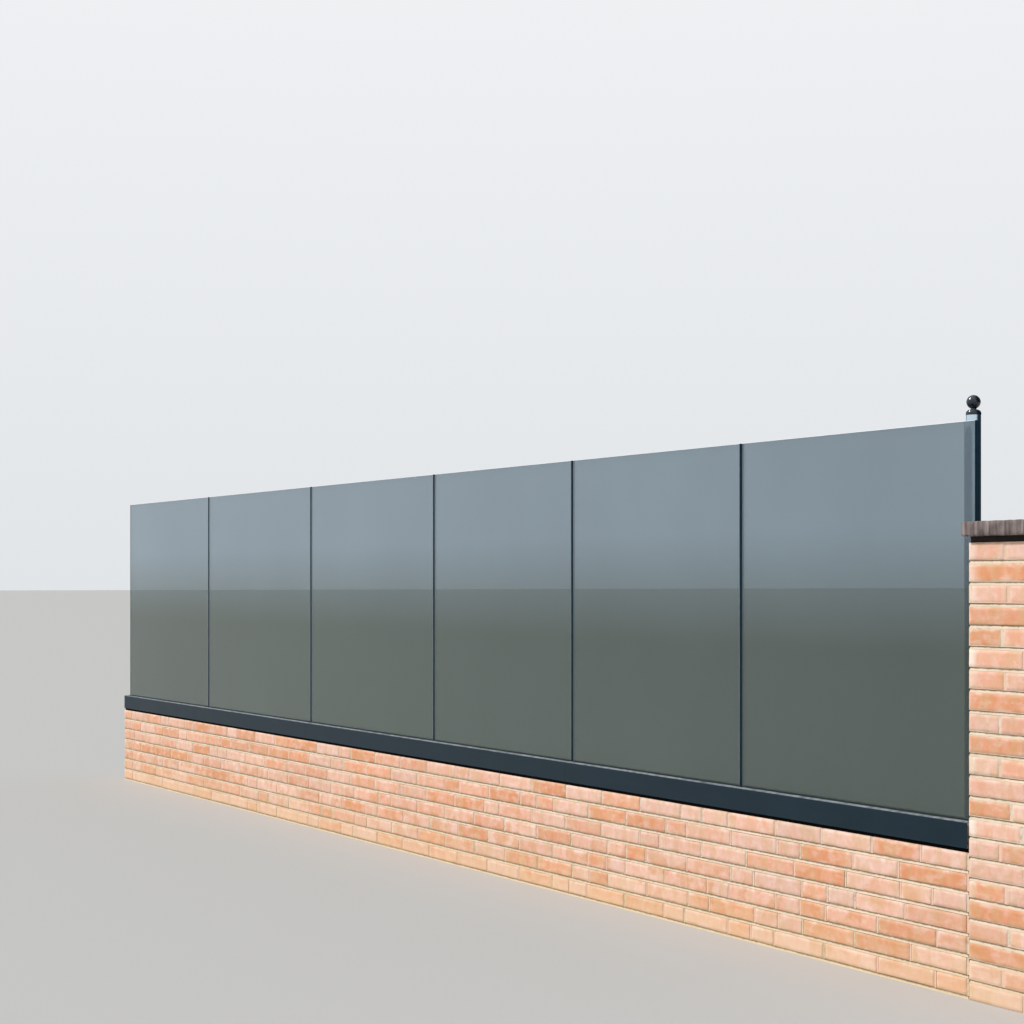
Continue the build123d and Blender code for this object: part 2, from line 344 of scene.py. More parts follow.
light = {
    "sunStrength": 2.7,
    "sunAngle": math.radians(5.0),
    "sunTurn": math.radians(-38.0),  # from the street side, left of square on
    "sunTilt": math.radians(46.0),  # from straight down
    "sky": (0.95, 0.97, 1.0, 1.0),
    "skyStrength": 0.55,
    "backdropFoot": tint(226, 229, 232),
    "backdropHead": tint(240, 242, 244),
    "backdropRise": 0.35,  # how far up, as a direction's Z, the foot's colour fades out
    "gardenFlag": tint(26, 42, 56),  # what gloss shows from the garden side
    "flagTurn": (-0.05, 0.2),  # where it begins and where it is full, as a direction's Y
    "floor": tint(188, 187, 184),
    "floorSize": 500.0,
}


def makeLight():
    sun = bpy.data.lights.new("sun", "SUN")
    sun.energy = light["sunStrength"]
    sun.angle = light["sunAngle"]
    newObject("sun", sun).rotation_euler = (light["sunTilt"], 0.0, light["sunTurn"])
    world = bpy.data.worlds.new("studio")
    world.use_nodes = True
    tree = world.node_tree
    tree.nodes.clear()
    path = put(tree, "LightPath").outputs
    glossy = path["Is Glossy Ray"]
    through = path["Is Transmission Ray"]
    seen = maths(tree, "MAXIMUM", path["Is Camera Ray"], glossy)
    seen = maths(tree, "MAXIMUM", seen, through)
    mirrored = maths(tree, "SUBTRACT", glossy, through, clamp=True)
    way = put(tree, "SeparateXYZ", {"Vector": put(tree, "TexCoord").outputs["Generated"]}).outputs
    rise = remap(tree, way["Z"], 0.0, light["backdropRise"])
    paper = ramp(tree, rise, [(0.0, light["backdropFoot"]), (1.0, light["backdropHead"])])
    garden = maths(tree, "MULTIPLY", remap(tree, way["Y"], *light["flagTurn"]), mirrored)
    paper = blendColour(tree, garden, paper, light["gardenFlag"])
    soft = put(tree, "Background", {"Color": light["sky"], "Strength": light["skyStrength"]})
    plain = put(tree, "Background", {"Color": paper, "Strength": 1.0})
    mix = put(tree, "MixShader", {0: seen, 1: soft.outputs[0], 2: plain.outputs[0]})
    put(tree, "OutputWorld", {"Surface": mix.outputs[0]})
    bpy.context.scene.world = world


def makeFloor():
    half = light["floorSize"] / 2
    mesh = bpy.data.meshes.new("floor")
    corners = [(-half, -half, 0), (half, -half, 0), (half, half, 0), (-half, half, 0)]
    mesh.from_pydata(corners, [], [(0, 1, 2, 3)])
    finish = newFinish("floorFinish", {"Base Color": light["floor"], "Roughness": 0.9})[0]
    mesh.materials.append(finish)
    newObject("floor", mesh)


makeCamera()
makeLight()
makeFloor()
print("camera, light and floor ready")


# Mesh helpers: corners, faces and tones are gathered in a heap for one joined mesh

def newHeap(*tones):
    return {"points": [], "faces": [], "tones": {name: [] for name in tones}}


def addTo(heap, points, faces, **tones):
    first = len(heap["points"])
    heap["points"].extend(points)
    heap["faces"].extend([tuple(first + i for i in face) for face in faces])
    for name, value in tones.items():
        heap["tones"][name].extend(value if isinstance(value, list) else [value] * len(points))


def pieceFrom(heap, name, finish, smooth=True):
    mesh = bpy.data.meshes.new(name)
    mesh.from_pydata(heap["points"], [], heap["faces"])
    for label, values in heap["tones"].items():
        mesh.attributes.new(label, "FLOAT", "POINT").data.foreach_set("value", values)
    mesh.polygons.foreach_set("use_smooth", [smooth] * len(heap["faces"]))
    mesh.materials.append(finish)
    mesh.update()
    return newObject(name, mesh)


gridCache = {}


def gridFaces(counts):
    # the six sides of a block as a net of corners that its sides share
    if counts in gridCache:
        return gridCache[counts]
    number = {}
    for i in range(counts[0]):
        for j in range(counts[1]):
            for k in range(counts[2]):
                if i in (0, counts[0] - 1) or j in (0, counts[1] - 1) or k in (0, counts[2] - 1):
                    number[i, j, k] = len(number)
    faces = []
    for axis in (2, 1, 0):
        u, v = [a for a in range(3) if a != axis]
        for p in range(counts[u] - 1):
            for q in range(counts[v] - 1):
                for end in (0, counts[axis] - 1):
                    face = []
                    for stepU, stepV in ((0, 0), (1, 0), (1, 1), (0, 1)):
                        index = [end, end, end]
                        index[u] = p + stepU
                        index[v] = q + stepV
                        face.append(number[tuple(index)])
                    inward = (end == 0) != (axis == 1)  # as listed, it faces into the block
                    faces.append(tuple(face[::-1] if inward else face))
    gridCache[counts] = (list(number), faces)
    return gridCache[counts]


def stations(low, high, radius, band, inner):
    # places along one side: close together in the rounding, one at the edge band, then even
    edge = [0.0, 0.3 * radius, radius] + ([band] if band else [])
    start = low + edge[-1]
    span = high - edge[-1] - start
    places = [low + e for e in edge]
    places += [start + span * i / (inner + 1) for i in range(1, inner + 1)]
    return places + [high - e for e in reversed(edge)]


def roundedBlock(low, high, radius, bands, inner, rough, dice, more=((), (), ())):
    # a block with worn arrises: its corners, its faces and how far each corner is from an arris
    axes = []
    for a in range(3):
        axes.append(sorted(stations(low[a], high[a], radius, bands[a], inner[a]) + list(more[a])))
    order, faces = gridFaces(tuple(len(axis) for axis in axes))
    points = []
    arris = []
    for index in order:
        raw = Vector([axes[a][index[a]] for a in range(3)])
        core = Vector([min(max(raw[a], low[a] + radius), high[a] - radius) for a in range(3)])
        away = raw - core
        if sum(abs(c) > hair for c in away) > 1:
            away = away.normalized() * (radius - dice.uniform(0.0, rough))
        points.append(tuple(core + away))
        arris.append(sorted(min(raw[a] - low[a], high[a] - raw[a]) for a in range(3))[1])
    return points, faces, arris


# Brickwork

bricks = {
    "length": 250 * mm,
    "width": 120 * mm,
    "joint": 10 * mm,
    "upright": 7 * mm,  # the upright joints
    "round": 3.5 * mm,
    "rough": 1.8 * mm,  # how ragged the arrises are
    "band": 13 * mm,  # width of the paler edge
    "cell": 110 * mm,  # about how far apart the corners on a face are
    "proud": 1.4 * mm,  # how far one brick's face may lie behind the next
    "sag": 1.0 * mm,  # how far one end may lie lower
    "throughUpTo": 0.55,  # share of a length; a shorter one is a header, through the whole wall
    "headerShare": 0.2,
    "lastTwo": 1.5,  # in brick lengths: what is left at the free end is filled with one or two
    "overlap": 40 * mm,  # between an upright joint and the one below
    "nearBricks": [  # by the pillar, a list for each course from the ground up, in mm
        [130], [238], [123, 258, 243], [263, 223, 128], [143, 133, 248],
        [293, 203, 255, 113], [193, 214, 234, 233, 253, 143],
    ],
    "pillarUpper": 12,  # courses of the pillar that are a little taller
    "pillarUpperPitch": 65 * mm,
    "pillarLower": 10,
    "headerSpread": 48 * mm,  # how much longer a header of the pillar may be
    "seed": 11,
}
joints = {
    "strikeTop": 5.0 * mm,  # the bed joints are struck: deep under a brick, shallow above one
    "strikeFoot": 1.5 * mm,
    "topRagged": (-0.8, 1.0),  # how the strike varies along the joint, in mm
    "footRagged": (-0.5, 0.8),
    "step": 60 * mm,  # along the joint
    "perpendDepth": 1.3 * mm,
    "perpendRagged": 1.2,  # how the depth of an upright joint varies, in mm
    "headRoom": 1 * mm,  # an upright joint ends this far under the next bed
    "seamEnd": 4 * mm,  # the mortar behind a brick ends this far inside it
    "smeared": 0.4,  # share of the upright joints that brick dust hides
    "capBed": 7 * mm,  # the courses are set out to end this far under the pillar's head
    "capJoint": 18.7 * mm,  # the joint under the cap stone, tall enough to take in the band of shade under the cap; its near-black finish is painted shade
    "capJointDepth": 5.0 * mm,
    "dark": tint(218, 198, 172),
    "light": tint(238, 219, 196),
    "splash": (tint(220, 196, 152), 0.7),
    "dust": tint(238, 196, 172),  # brick dust on an upright joint
    # painted shade along the top of each bed joint, under the brick above, and a little on upright joints
    "soot": tint(160, 140, 112),
    # painted shade: the near-black of the joint under the cap stone
    "capDark": tint(12, 10, 10),
    "capLight": tint(40, 28, 22),
}
clay = {
    "tones": [
        (0.0, tint(242, 202, 184)),  # pale pink
        (0.35, tint(239, 188, 164)),
        (0.65, tint(237, 174, 144)),  # salmon
        (0.87, tint(233, 162, 120)),
        (1.0, tint(228, 152, 106)),  # orange
    ],
    "rosy": (tint(218, 146, 122), 0.24),
    "sandy": (tint(226, 180, 136), 0.22),
    "lime": (tint(246, 224, 202), 0.7),  # on the arrises
    "scuff": (tint(246, 214, 202), 0.3),
    "washed": (tint(248, 232, 216), 0.8),  # where the pillar's corner meets the run
    "washedAt": 12 * mm,  # from that corner
    "washedReach": (6 * mm, 26 * mm),  # full to the first, none from the second
    "moss": tint(212, 178, 128),
    "mossReach": 26 * mm,
    "levels": (0.93, 1.05),  # how bright one brick is against another
    "splash": (tint(236, 204, 164), 0.6),
    "splashReach": 0.17,
    "stain": tint(214, 148, 92),  # above the splash
    "stainReach": 0.34,
    "dust": tint(178, 154, 132),
    "turnOver": 71.0,  # moves the patterns from one brick to the next
}
brickTones = ("brickTone", "brickWarmth", "brickArris")


def clayColour(tree, own):
    patch = patches(tree, 22.0, upright=1.7, contrast=0.6, shift=own)
    lean = maths(tree, "MULTIPLY", maths(tree, "SUBTRACT", patch, 0.5), 0.6)
    mixed = maths(tree, "ADD", attribute(tree, "brickWarmth"), lean, clamp=True)
    base = ramp(tree, mixed, clay["tones"])
    fine = patches(tree, 60.0, upright=1.3, contrast=0.7, shift=own)
    base = layOver(tree, base, fine, clay["rosy"])
    buff = patches(tree, 30.0, upright=1.3, contrast=0.85, shift=maths(tree, "ADD", own, 9.0))
    return layOver(tree, base, buff, clay["sandy"])


def weatheredClay(tree, base, own, tone):
    # lime on the arrises and in scuffs, pale ends by the corner, then moss
    arris = attribute(tree, "brickArris")
    lime = patches(tree, 20.0, upright=0.5, contrast=0.72, shift=maths(tree, "ADD", own, 3.0))
    edge = remap(tree, arris, 1 * mm, bricks["band"], 1.0, 0.0)
    bloom = maths(tree, "MULTIPLY", edge, remap(tree, lime, 0.15, 0.95, 0.1, 1.0))
    pale = layOver(tree, base, bloom, clay["lime"])
    pale = layOver(tree, pale, remap(tree, lime, 0.55, 0.95), clay["scuff"])
    off = distanceFrom(tree, "X", pillarLow.x + clay["washedAt"])
    near = remap(tree, off, *clay["washedReach"], 1.0, 0.0)
    washed = maths(tree, "MULTIPLY", near, remap(tree, tone, 0.5, 0.9))
    pale = layOver(tree, pale, washed, clay["washed"])
    moss = patches(tree, 26.0, upright=2.0, contrast=0.8, shift=maths(tree, "ADD", own, 17.0))
    inward = remap(tree, arris, 1 * mm, clay["mossReach"], 0.5, 0.1)
    moss = maths(tree, "MULTIPLY", remap(tree, moss, 0.55, 0.9), inward)
    return blendColour(tree, moss, pale, clay["moss"])


def clayFoot(tree, base):
    # splashed by the ground, and stained in patches above that
    splash = splashed(tree, reach=clay["splashReach"], ragged=0.03)
    foot = layOver(tree, base, splash, clay["splash"])
    patch = remap(tree, patches(tree, 9.0, upright=0.8, contrast=0.8), 0.5, 0.8)
    above = maths(tree, "SUBTRACT", splashed(tree, reach=clay["stainReach"], ragged=0.05), splash)
    stain = maths(tree, "MULTIPLY", patch, above, clamp=True)
    return blendColour(tree, stain, foot, clay["stain"])


def brickFinish():
    material, tree, shader = newFinish("brickFace", {"Roughness": 0.85})
    tone = attribute(tree, "brickTone")
    own = maths(tree, "MULTIPLY", tone, clay["turnOver"])
    base = weatheredClay(tree, clayColour(tree, own), own, tone)
    base = brightness(tree, base, remap(tree, tone, 0.0, 1.0, *clay["levels"]))
    base = withTopDustAndHighlight(tree, clayFoot(tree, base), clay["dust"], amount=0.3, fineness=30.0)
    feed(tree, shader["Base Color"], base)
    sand = place(tree, grain, Fineness=520.0, Pits=0.5)
    feed(tree, shader["Roughness"], remap(tree, sand["Value"], 0.3, 0.7, 0.75, 0.95))
    creased = bump(tree, patches(tree, 90.0, upright=0.4, contrast=0.4, shift=own), 0.25, 1.5 * mm)
    feed(tree, shader["Normal"], bump(tree, sand["Height"], 0.45, 0.6 * mm, creased))
    return material


def mortarFinish():
    material, tree, shader = newFinish("mortar", {"Roughness": 0.95})
    base = blendColour(tree, patches(tree, 14.0), joints["dark"], joints["light"])
    base = layOver(tree, base, splashed(tree, reach=0.2, ragged=0.04), joints["splash"])
    head = attribute(tree, "jointHead")
    base = blendColour(tree, remap(tree, head, -1.0, 0.0, 0.8, 0.0), base, joints["dust"])
    # painted shade: the joint is drawn dark towards its top, under the brick above
    ragged = maths(tree, "MULTIPLY", maths(tree, "SUBTRACT", patches(tree, 60.0), 0.5), 0.4)
    shadedHead = remap(tree, maths(tree, "ADD", head, ragged), 0.42, 0.72)
    feed(tree, shader["Base Color"], blendColour(tree, shadedHead, base, joints["soot"]))
    sand = place(tree, grain, Fineness=380.0, Pits=0.7)
    feed(tree, shader["Normal"], bump(tree, sand["Height"], 0.8, 0.9 * mm))
    return material


def capShadeFinish():
    material, tree, shader = newFinish("capBedding", {"Roughness": 0.9})
    # painted shade: the joint under the cap stone is drawn near black, for the shadow under the cap's
    # overhang
    base = blendColour(tree, patches(tree, 30.0), joints["capDark"], joints["capLight"])
    feed(tree, shader["Base Color"], base)
    sand = place(tree, grain, Fineness=300.0, Pits=0.5)
    feed(tree, shader["Normal"], bump(tree, sand["Height"], 0.6, 0.8 * mm))
    return material


def addBrick(heap, low, high, dice, bands=(True, False, True)):
    inner = [max(0, round((high[a] - low[a]) / bricks["cell"]) - 1) for a in range(3)]
    widths = [bricks["band"] if wanted else 0.0 for wanted in bands]
    points, faces, arris = roundedBlock(low, high, bricks["round"], widths, inner, bricks["rough"], dice)
    ends = [dice.uniform(0.0, bricks["sag"]) for _ in range(2)]
    longest = 0 if high[0] - low[0] >= high[1] - low[1] else 1
    sunk = []
    for point in points:
        share = (point[longest] - low[longest]) / (high[longest] - low[longest])
        sunk.append((point[0], point[1], max(0.0, point[2] - ends[0] - (ends[1] - ends[0]) * share)))
    addTo(heap, sunk, faces, brickTone=dice.random(), brickWarmth=dice.random() ** 1.5, brickArris=arris)


def addStrip(heap, low, high, foot, head, dice):
    # a bed of mortar: its face is drawn in by foot at the bottom and by head at the top
    columns = max(1, round((high[0] - low[0]) / joints["step"]))
    points = []
    for i in range(columns + 1):
        x = low[0] + (high[0] - low[0]) * i / columns
        inFoot = foot + dice.uniform(*joints["footRagged"]) * mm
        inHead = head + dice.uniform(*joints["topRagged"]) * mm
        side = {0: 1, columns: -1}.get(i, 0)
        points += [
            (x + side * inFoot, low[1] + inFoot, low[2]),
            (x + side * inHead, low[1] + inHead, high[2]),
            (x + side * inHead, high[1] - inHead, high[2]),
            (x + side * inFoot, high[1] - inFoot, low[2]),
        ]
    faces = [(0, 1, 2, 3), tuple(4 * columns + i for i in (3, 2, 1, 0))]
    for i in range(columns):
        a, b = 4 * i, 4 * i + 4
        for p, q in ((0, 1), (1, 2), (2, 3), (3, 0)):
            faces.append((a + q, a + p, b + p, b + q))
    addTo(heap, points, faces, jointHead=[0.0, 1.0, 1.0, 0.0] * (columns + 1))


def addFill(heap, low, high, dice):
    # mortar in an upright joint or behind the faces
    front = low[1] + dice.uniform(0.0, joints["perpendRagged"]) * mm
    rear = high[1] - dice.uniform(0.0, joints["perpendRagged"]) * mm
    sides = ((low[0], front), (high[0], front), (high[0], rear), (low[0], rear))
    points = [(x, y, z) for z in (low[2], high[2]) for x, y in sides]
    faces = [(3, 2, 1, 0), (4, 5, 6, 7), (0, 1, 5, 4), (1, 2, 6, 5), (2, 3, 7, 6), (3, 0, 4, 7)]
    addTo(heap, points, faces, jointHead=-1.0 if dice.random() < joints["smeared"] else 0.4)


def courseSpans(start, end, near, below, dice):
    # bricks of one course from the pillar to the free end, upright joints kept off those below
    joint = bricks["upright"]
    spans = []
    x = end - joint
    while x - start > bricks["lastTwo"] * bricks["length"]:
        kinds = [bricks["width"], bricks["length"]]
        if dice.random() > bricks["headerShare"]:
            kinds.reverse()
        clash = any(abs(x - kinds[0] - edge) < bricks["overlap"] for edge in below)
        size = kinds[1] if clash else kinds[0]
        if len(spans) < len(near):
            size = near[len(spans)] * mm
        spans.append((x - size, x))
        x -= size + joint
    left = x - start
    if left > bricks["length"]:
        half = (left - joint) / 2
        spans.append((x - half, x))
        x -= half + joint
    spans.append((start, x))
    return spans


def layWall(dice):
    street = newHeap(*brickTones)
    garden = newHeap(*brickTones)
    mortar = newHeap("jointHead")
    joint = bricks["joint"]
    pitch = (wallHigh.z - wallLow.z) / len(bricks["nearBricks"])
    wythe = (wallHigh.y - wallLow.y - joint) / 2
    depth = joints["perpendDepth"]
    below = []
    for course, near in enumerate(bricks["nearBricks"]):
        foot = wallLow.z + course * pitch
        head = foot + pitch
        bed = foot + joint
        ends = (wallLow.x, wallLow.y, foot), (wallHigh.x, wallHigh.y, bed)
        addStrip(mortar, *ends, joints["strikeFoot"], joints["strikeTop"], dice)
        spans = courseSpans(wallLow.x, wallHigh.x, near, below, dice)
        below = [low for low, high in spans]
        for low, high in spans:
            back = dice.uniform(0.0, bricks["proud"])
            if high - low < bricks["throughUpTo"] * bricks["length"]:
                addBrick(street, (low, wallLow.y + back, bed), (high, wallHigh.y - back, head), dice)
            else:
                addBrick(street, (low, wallLow.y + back, bed), (high, wallLow.y + wythe, head), dice)
                addBrick(garden, (low, wallHigh.y - wythe, bed), (high, wallHigh.y - back, head), dice)
                seamLow = (low + joints["seamEnd"], wallLow.y + wythe, bed)
                seamHigh = (high - joints["seamEnd"], wallHigh.y - wythe, head - joints["headRoom"])
                addFill(mortar, seamLow, seamHigh, dice)
            uprightLow = (high, wallLow.y + depth, bed)
            uprightHigh = (high + bricks["upright"], wallHigh.y - depth, head - joints["headRoom"])
            addFill(mortar, uprightLow, uprightHigh, dice)
    return street, garden, mortar


def pillarPlan(course, side, dice):
    # four bricks round the pillar, turned over in each next course
    length, width = bricks["length"], bricks["width"]
    header = width + dice.uniform(0.0, bricks["headerSpread"])
    rest = side - header - bricks["upright"]
    if course % 2:
        front = [((0, 0), (header, length)), ((side - rest, 0), (side, width))]
        rear = [((0, side - width), (rest, side)), ((side - header, side - length), (side, side))]
    else:
        front = [((0, 0), (rest, width)), ((side - header, 0), (side, length))]
        rear = [((side - rest, side - width), (side, side)), ((0, side - length), (header, side))]
    return front + rear


def layPillar(dice):
    heap = newHeap(*brickTones)
    mortar = newHeap("jointHead")
    shadedCapBed = newHeap("jointHead")
    inset = joints["perpendDepth"]
    side = pillarHigh.x - pillarLow.x
    top = pillarHigh.z - joints["capBed"]
    upperFoot = top - bricks["pillarUpper"] * bricks["pillarUpperPitch"]
    lowerPitch = (upperFoot - pillarLow.z) / bricks["pillarLower"]
    feet = [pillarLow.z + i * lowerPitch for i in range(bricks["pillarLower"])]
    feet += [upperFoot + i * bricks["pillarUpperPitch"] for i in range(bricks["pillarUpper"] + 1)]
    for course, (foot, head) in enumerate(zip(feet[:-1], feet[1:])):
        last = course == len(feet) - 2
        if last:
            head = pillarHigh.z
        brickHead = head - (joints["capJoint"] if last else bricks["joint"])
        for (x0, y0), (x1, y1) in pillarPlan(course, side, dice):
            back = dice.uniform(0.0, bricks["proud"])
            low = (pillarLow.x + x0 + back * (x0 == 0), pillarLow.y + y0 + back * (y0 == 0), foot)
            farX = pillarLow.x + x1 - back * (x1 == side)
            farY = pillarLow.y + y1 - back * (y1 == side)
            addBrick(heap, low, (farX, farY, brickHead), dice, (True, True, True))
        coreLow = (pillarLow.x + inset, pillarLow.y + inset, foot)
        coreHigh = (pillarHigh.x - inset, pillarHigh.y - inset, brickHead)
        addFill(mortar, coreLow, coreHigh, dice)
        ends = (pillarLow.x, pillarLow.y, brickHead), (pillarHigh.x, pillarHigh.y, head)
        if last:
            addStrip(shadedCapBed, *ends, joints["capJointDepth"], joints["capJointDepth"], dice)
        else:
            addStrip(mortar, *ends, joints["strikeFoot"], joints["strikeTop"], dice)
    return heap, mortar, shadedCapBed


def makeBrickwork():
    face = brickFinish()
    mortar = mortarFinish()
    dice = random.Random(bricks["seed"])
    street, garden, wallJoints = layWall(dice)
    pillar, pillarJoints, capJoint = layPillar(dice)
    for heap, name, finish, node in (
        (street, "wallBricksStreet", face, "low_wall"),
        (garden, "wallBricksGarden", face, "low_wall"),
        (wallJoints, "wallMortar", mortar, "low_wall"),
        (pillar, "pillarBricks", face, "pillar"),
        (pillarJoints, "pillarMortar", mortar, "pillar"),
        (capJoint, "capBedding", capShadeFinish(), "pillar"),
    ):
        finishPiece(pieceFrom(heap, name, finish, smooth=finish is face), [node])
        print(name, sum(len(corners) - 2 for corners in heap["faces"]), "triangles")


makeBrickwork()
print("brickwork ready")


# Cap stone

cap = {
    "round": 4 * mm,
    "rough": 1.5 * mm,
    "cell": 14 * mm,
    "uneven": 1.2 * mm,
    "slotGap": 2 * mm,  # round the end of the last pane
    "slotEdge": 0.2 * mm,
    "seed": 5,
    "dark": tint(92, 81, 79),
    "light": tint(136, 121, 117),
    "run": (tint(50, 42, 42), 0.9),
    "wash": (tint(188, 170, 164), 0.65),
    "rubbed": tint(170, 152, 146),
    "dust": tint(112, 106, 92),
}


def capFinish():
    material, tree, shader = newFinish("capStone", {"Roughness": 0.9})
    base = blendColour(tree, patches(tree, 26.0), cap["dark"], cap["light"])
    base = layOver(tree, base, streaks(tree, fineness=75.0, length=9.0, cover=0.85), cap["run"])
    base = layOver(tree, base, streaks(tree, fineness=46.0, length=14.0, cover=0.75), cap["wash"])
    base = rubbed(tree, base, cap["rubbed"], amount=0.7, reach=cap["round"])
    feed(tree, shader["Base Color"], withTopDustAndHighlight(tree, base, cap["dust"], amount=0.5, fineness=22.0))
    sand = place(tree, grain, Fineness=300.0, Pits=0.9)
    feed(tree, shader["Normal"], bump(tree, sand["Height"], 0.8, 1.0 * mm))
    return material


def makeCap():
    dice = random.Random(cap["seed"])
    inner = [round((capHigh[a] - capLow[a]) / cap["cell"]) for a in range(3)]
    slotEnd = lastHigh.x + cap["slotGap"]
    slotLow = lastLow.y - cap["slotGap"]
    slotHigh = lastHigh.y + cap["slotGap"]
    sides = [slotLow - cap["slotEdge"], slotLow, slotHigh, slotHigh + cap["slotEdge"]]
    shape = (capLow, capHigh, cap["round"], (0, 0, 0), inner, cap["rough"])
    points, faces, _ = roundedBlock(*shape, dice, ([], sides, []))
    middle = (capLow + capHigh) / 2
    moved = []
    for point in points:
        if slotLow - hair < point[1] < slotHigh + hair and point[0] < slotEnd:
            point = (slotEnd, point[1], point[2])
        shifted = []
        for a in range(3):
            inward = 1 if point[a] < middle[a] else -1
            edge = capLow[a] if inward > 0 else capHigh[a]
            near = abs(point[a] - edge) <= cap["round"]
            shifted.append(point[a] + (inward * dice.uniform(0.0, cap["uneven"]) if near else 0.0))
        moved.append(tuple(shifted))
    heap = newHeap()
    addTo(heap, moved, faces)
    finishPiece(pieceFrom(heap, "capStone", capFinish()), ["pillar_cap"])


makeCap()
print("cap stone ready")


# Glass panes

pane = {
    "arris": 1.5 * mm,
    "film": 1.6 * mm,  # the clear layer between the two plies
    "clearness": 0.8,  # what isn't clear stands for the haze
    "smokeFoot": 1.05,  # the real smoke tint is drawn deepest below this height and palest above smokeHead: painted shade below, painted reflection above
    "smokeHead": 1.45,
    "smokeDeep": tint(108, 122, 116),
    "smokeThin": tint(152, 168, 178),
    "squareOn": 0.85,  # painted reflection: the glass is drawn darker square on and paler at a slant
    "slants": (0.3, 0.6),  # from square on to that slant, as Facing
    "dust": (tint(180, 190, 196), 0.10),
    "lampTint": (0.42, 0.45, 0.46, 1.0),  # what lamps send through
    "plyDark": tint(20, 46, 62),  # the top edge and the ends that face the pillar
    "plyLight": tint(30, 58, 74),
    "plyFilm": tint(60, 74, 80),
    "paleDark": tint(206, 218, 224),  # painted highlight with the white of ground glass: the ends that face the free end, and most arrises
    "paleLight": tint(236, 246, 250),
    "dullDark": tint(112, 126, 134),  # painted shade: a shaded copy for the arrises that face the pillar
    "dullLight": tint(136, 150, 158),
    "groundFilm": tint(130, 144, 150),
}


def paneFinish():
    sockets = {"IOR": 1.5, "Transmission Weight": pane["clearness"]}
    material, tree, shader = newFinish("paneGlass", sockets)
    cloud = patches(tree, 1.6, upright=1.5)
    # painted shade and reflection: the tint fades from dark below to pale above
    rise = remap(tree, along(tree, "Z"), pane["smokeFoot"], pane["smokeHead"])
    smokeWithPaintedFade = blendColour(tree, rise, pane["smokeDeep"], pane["smokeThin"])
    # painted reflection: paler where the glass is seen at a slant
    slant = put(tree, "LayerWeight", {"Blend": 0.5}).outputs["Facing"]
    slant = remap(tree, slant, *pane["slants"], pane["squareOn"], 1.0)
    level = maths(tree, "MULTIPLY", slant, remap(tree, cloud, 0.0, 1.0, 0.94, 1.04))
    tone = brightness(tree, smokeWithPaintedFade, level)
    film = streaks(tree, fineness=26.0, length=16.0, cover=0.35)
    feed(tree, shader["Base Color"], layOver(tree, tone, film, pane["dust"]))
    feed(tree, shader["Roughness"], remap(tree, cloud, 0.0, 1.0, 0.0, 0.006))
    solid = tree.nodes["Principled BSDF"].outputs[0]
    lamps = put(tree, "LightPath").outputs["Is Shadow Ray"]
    through = put(tree, "BsdfTransparent", {"Color": pane["lampTint"]}).outputs[0]
    mix = put(tree, "MixShader", {0: lamps, 1: solid, 2: through}).outputs[0]
    feed(tree, tree.nodes["Material Output"].inputs["Surface"], mix)
    return material


def betweenPlies(tree):
    # 1 on the clear layer in the middle of a pane's edge
    off = distanceFrom(tree, "Y", (paneLow.y + paneHigh.y) / 2)
    return maths(tree, "LESS_THAN", off, pane["film"] / 2)


def paneEdgeFinish():
    sockets = {"Roughness": 0.2, "IOR": 1.5, "Specular IOR Level": 0.12}
    material, tree, shader = newFinish("paneEdge", sockets)
    ply = blendColour(tree, patches(tree, 30.0), pane["plyDark"], pane["plyLight"])
    feed(tree, shader["Base Color"], blendColour(tree, betweenPlies(tree), ply, pane["plyFilm"]))
    return material


def paneArrisFinish(name, dark, light):
    material, tree, shader = newFinish(name, {"Roughness": 0.5})
    base = blendColour(tree, patches(tree, 60.0), dark, light)
    feed(tree, shader["Base Color"], blendColour(tree, betweenPlies(tree), base, pane["groundFilm"]))
    return material


def makePane(node, finishes):
    low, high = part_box(node)
    atPillar = high.x > lastHigh.x - hair
    steep = 0.5  # a face counts as facing along an axis when its normal has more of it than this
    faceNo, edgeNo, litNo, shadedNo = range(4)  # the order of the finishes
    bm = bmesh.new()
    bmesh.ops.create_cube(bm, size=1.0)
    for vert in bm.verts:
        vert.co = [low[a] if vert.co[a] < 0 else high[a] for a in range(3)]
    edges = [e for e in bm.edges if abs(e.verts[0].co.y - e.verts[1].co.y) < mm]
    ground = bmesh.ops.bevel(bm, geom=edges, offset=pane["arris"], segments=1, affect="EDGES")["faces"]
    for face in bm.faces:
        face.normal_update()
        face.material_index = edgeNo if abs(face.normal.y) < steep else faceNo
        if face in ground or face.normal.x < -steep:
            face.material_index = litNo
    for face in ground:
        if face.normal.x > steep:  # painted shade: arrises that face the pillar get the shaded copy, and at the pillar itself the dark edge colour
            face.material_index = edgeNo if atPillar else shadedNo
    mesh = bpy.data.meshes.new(node.replace("glass_", ""))
    bm.to_mesh(mesh)
    bm.free()
    for finish in finishes:
        mesh.materials.append(finish)
    finishPiece(newObject(mesh.name, mesh), [node])


def makePanes():
    # a lit copy and a shaded copy of the arris colour: painted highlight and painted shade
    pale = paneArrisFinish("paneArris", pane["paleDark"], pane["paleLight"])
    shadedArris = paneArrisFinish("paneArrisDull", pane["dullDark"], pane["dullLight"])
    finishes = [paneFinish(), paneEdgeFinish(), pale, shadedArris]
    for node in nodesNamed("glass_pane"):
        makePane(node, finishes)


makePanes()
print("panes ready")


# Finishes of the pieces that stay as the CAD has them

cover = {
    "dark": tint(14, 34, 45),
    "light": tint(20, 41, 52),
    "stain": (tint(70, 80, 88), 0.14),
    # dust and painted highlight on the cover's top faces
    "dust": tint(158, 166, 172),
    "rubbed": tint(90, 100, 108),
    "roughness": (0.36, 0.48),
}


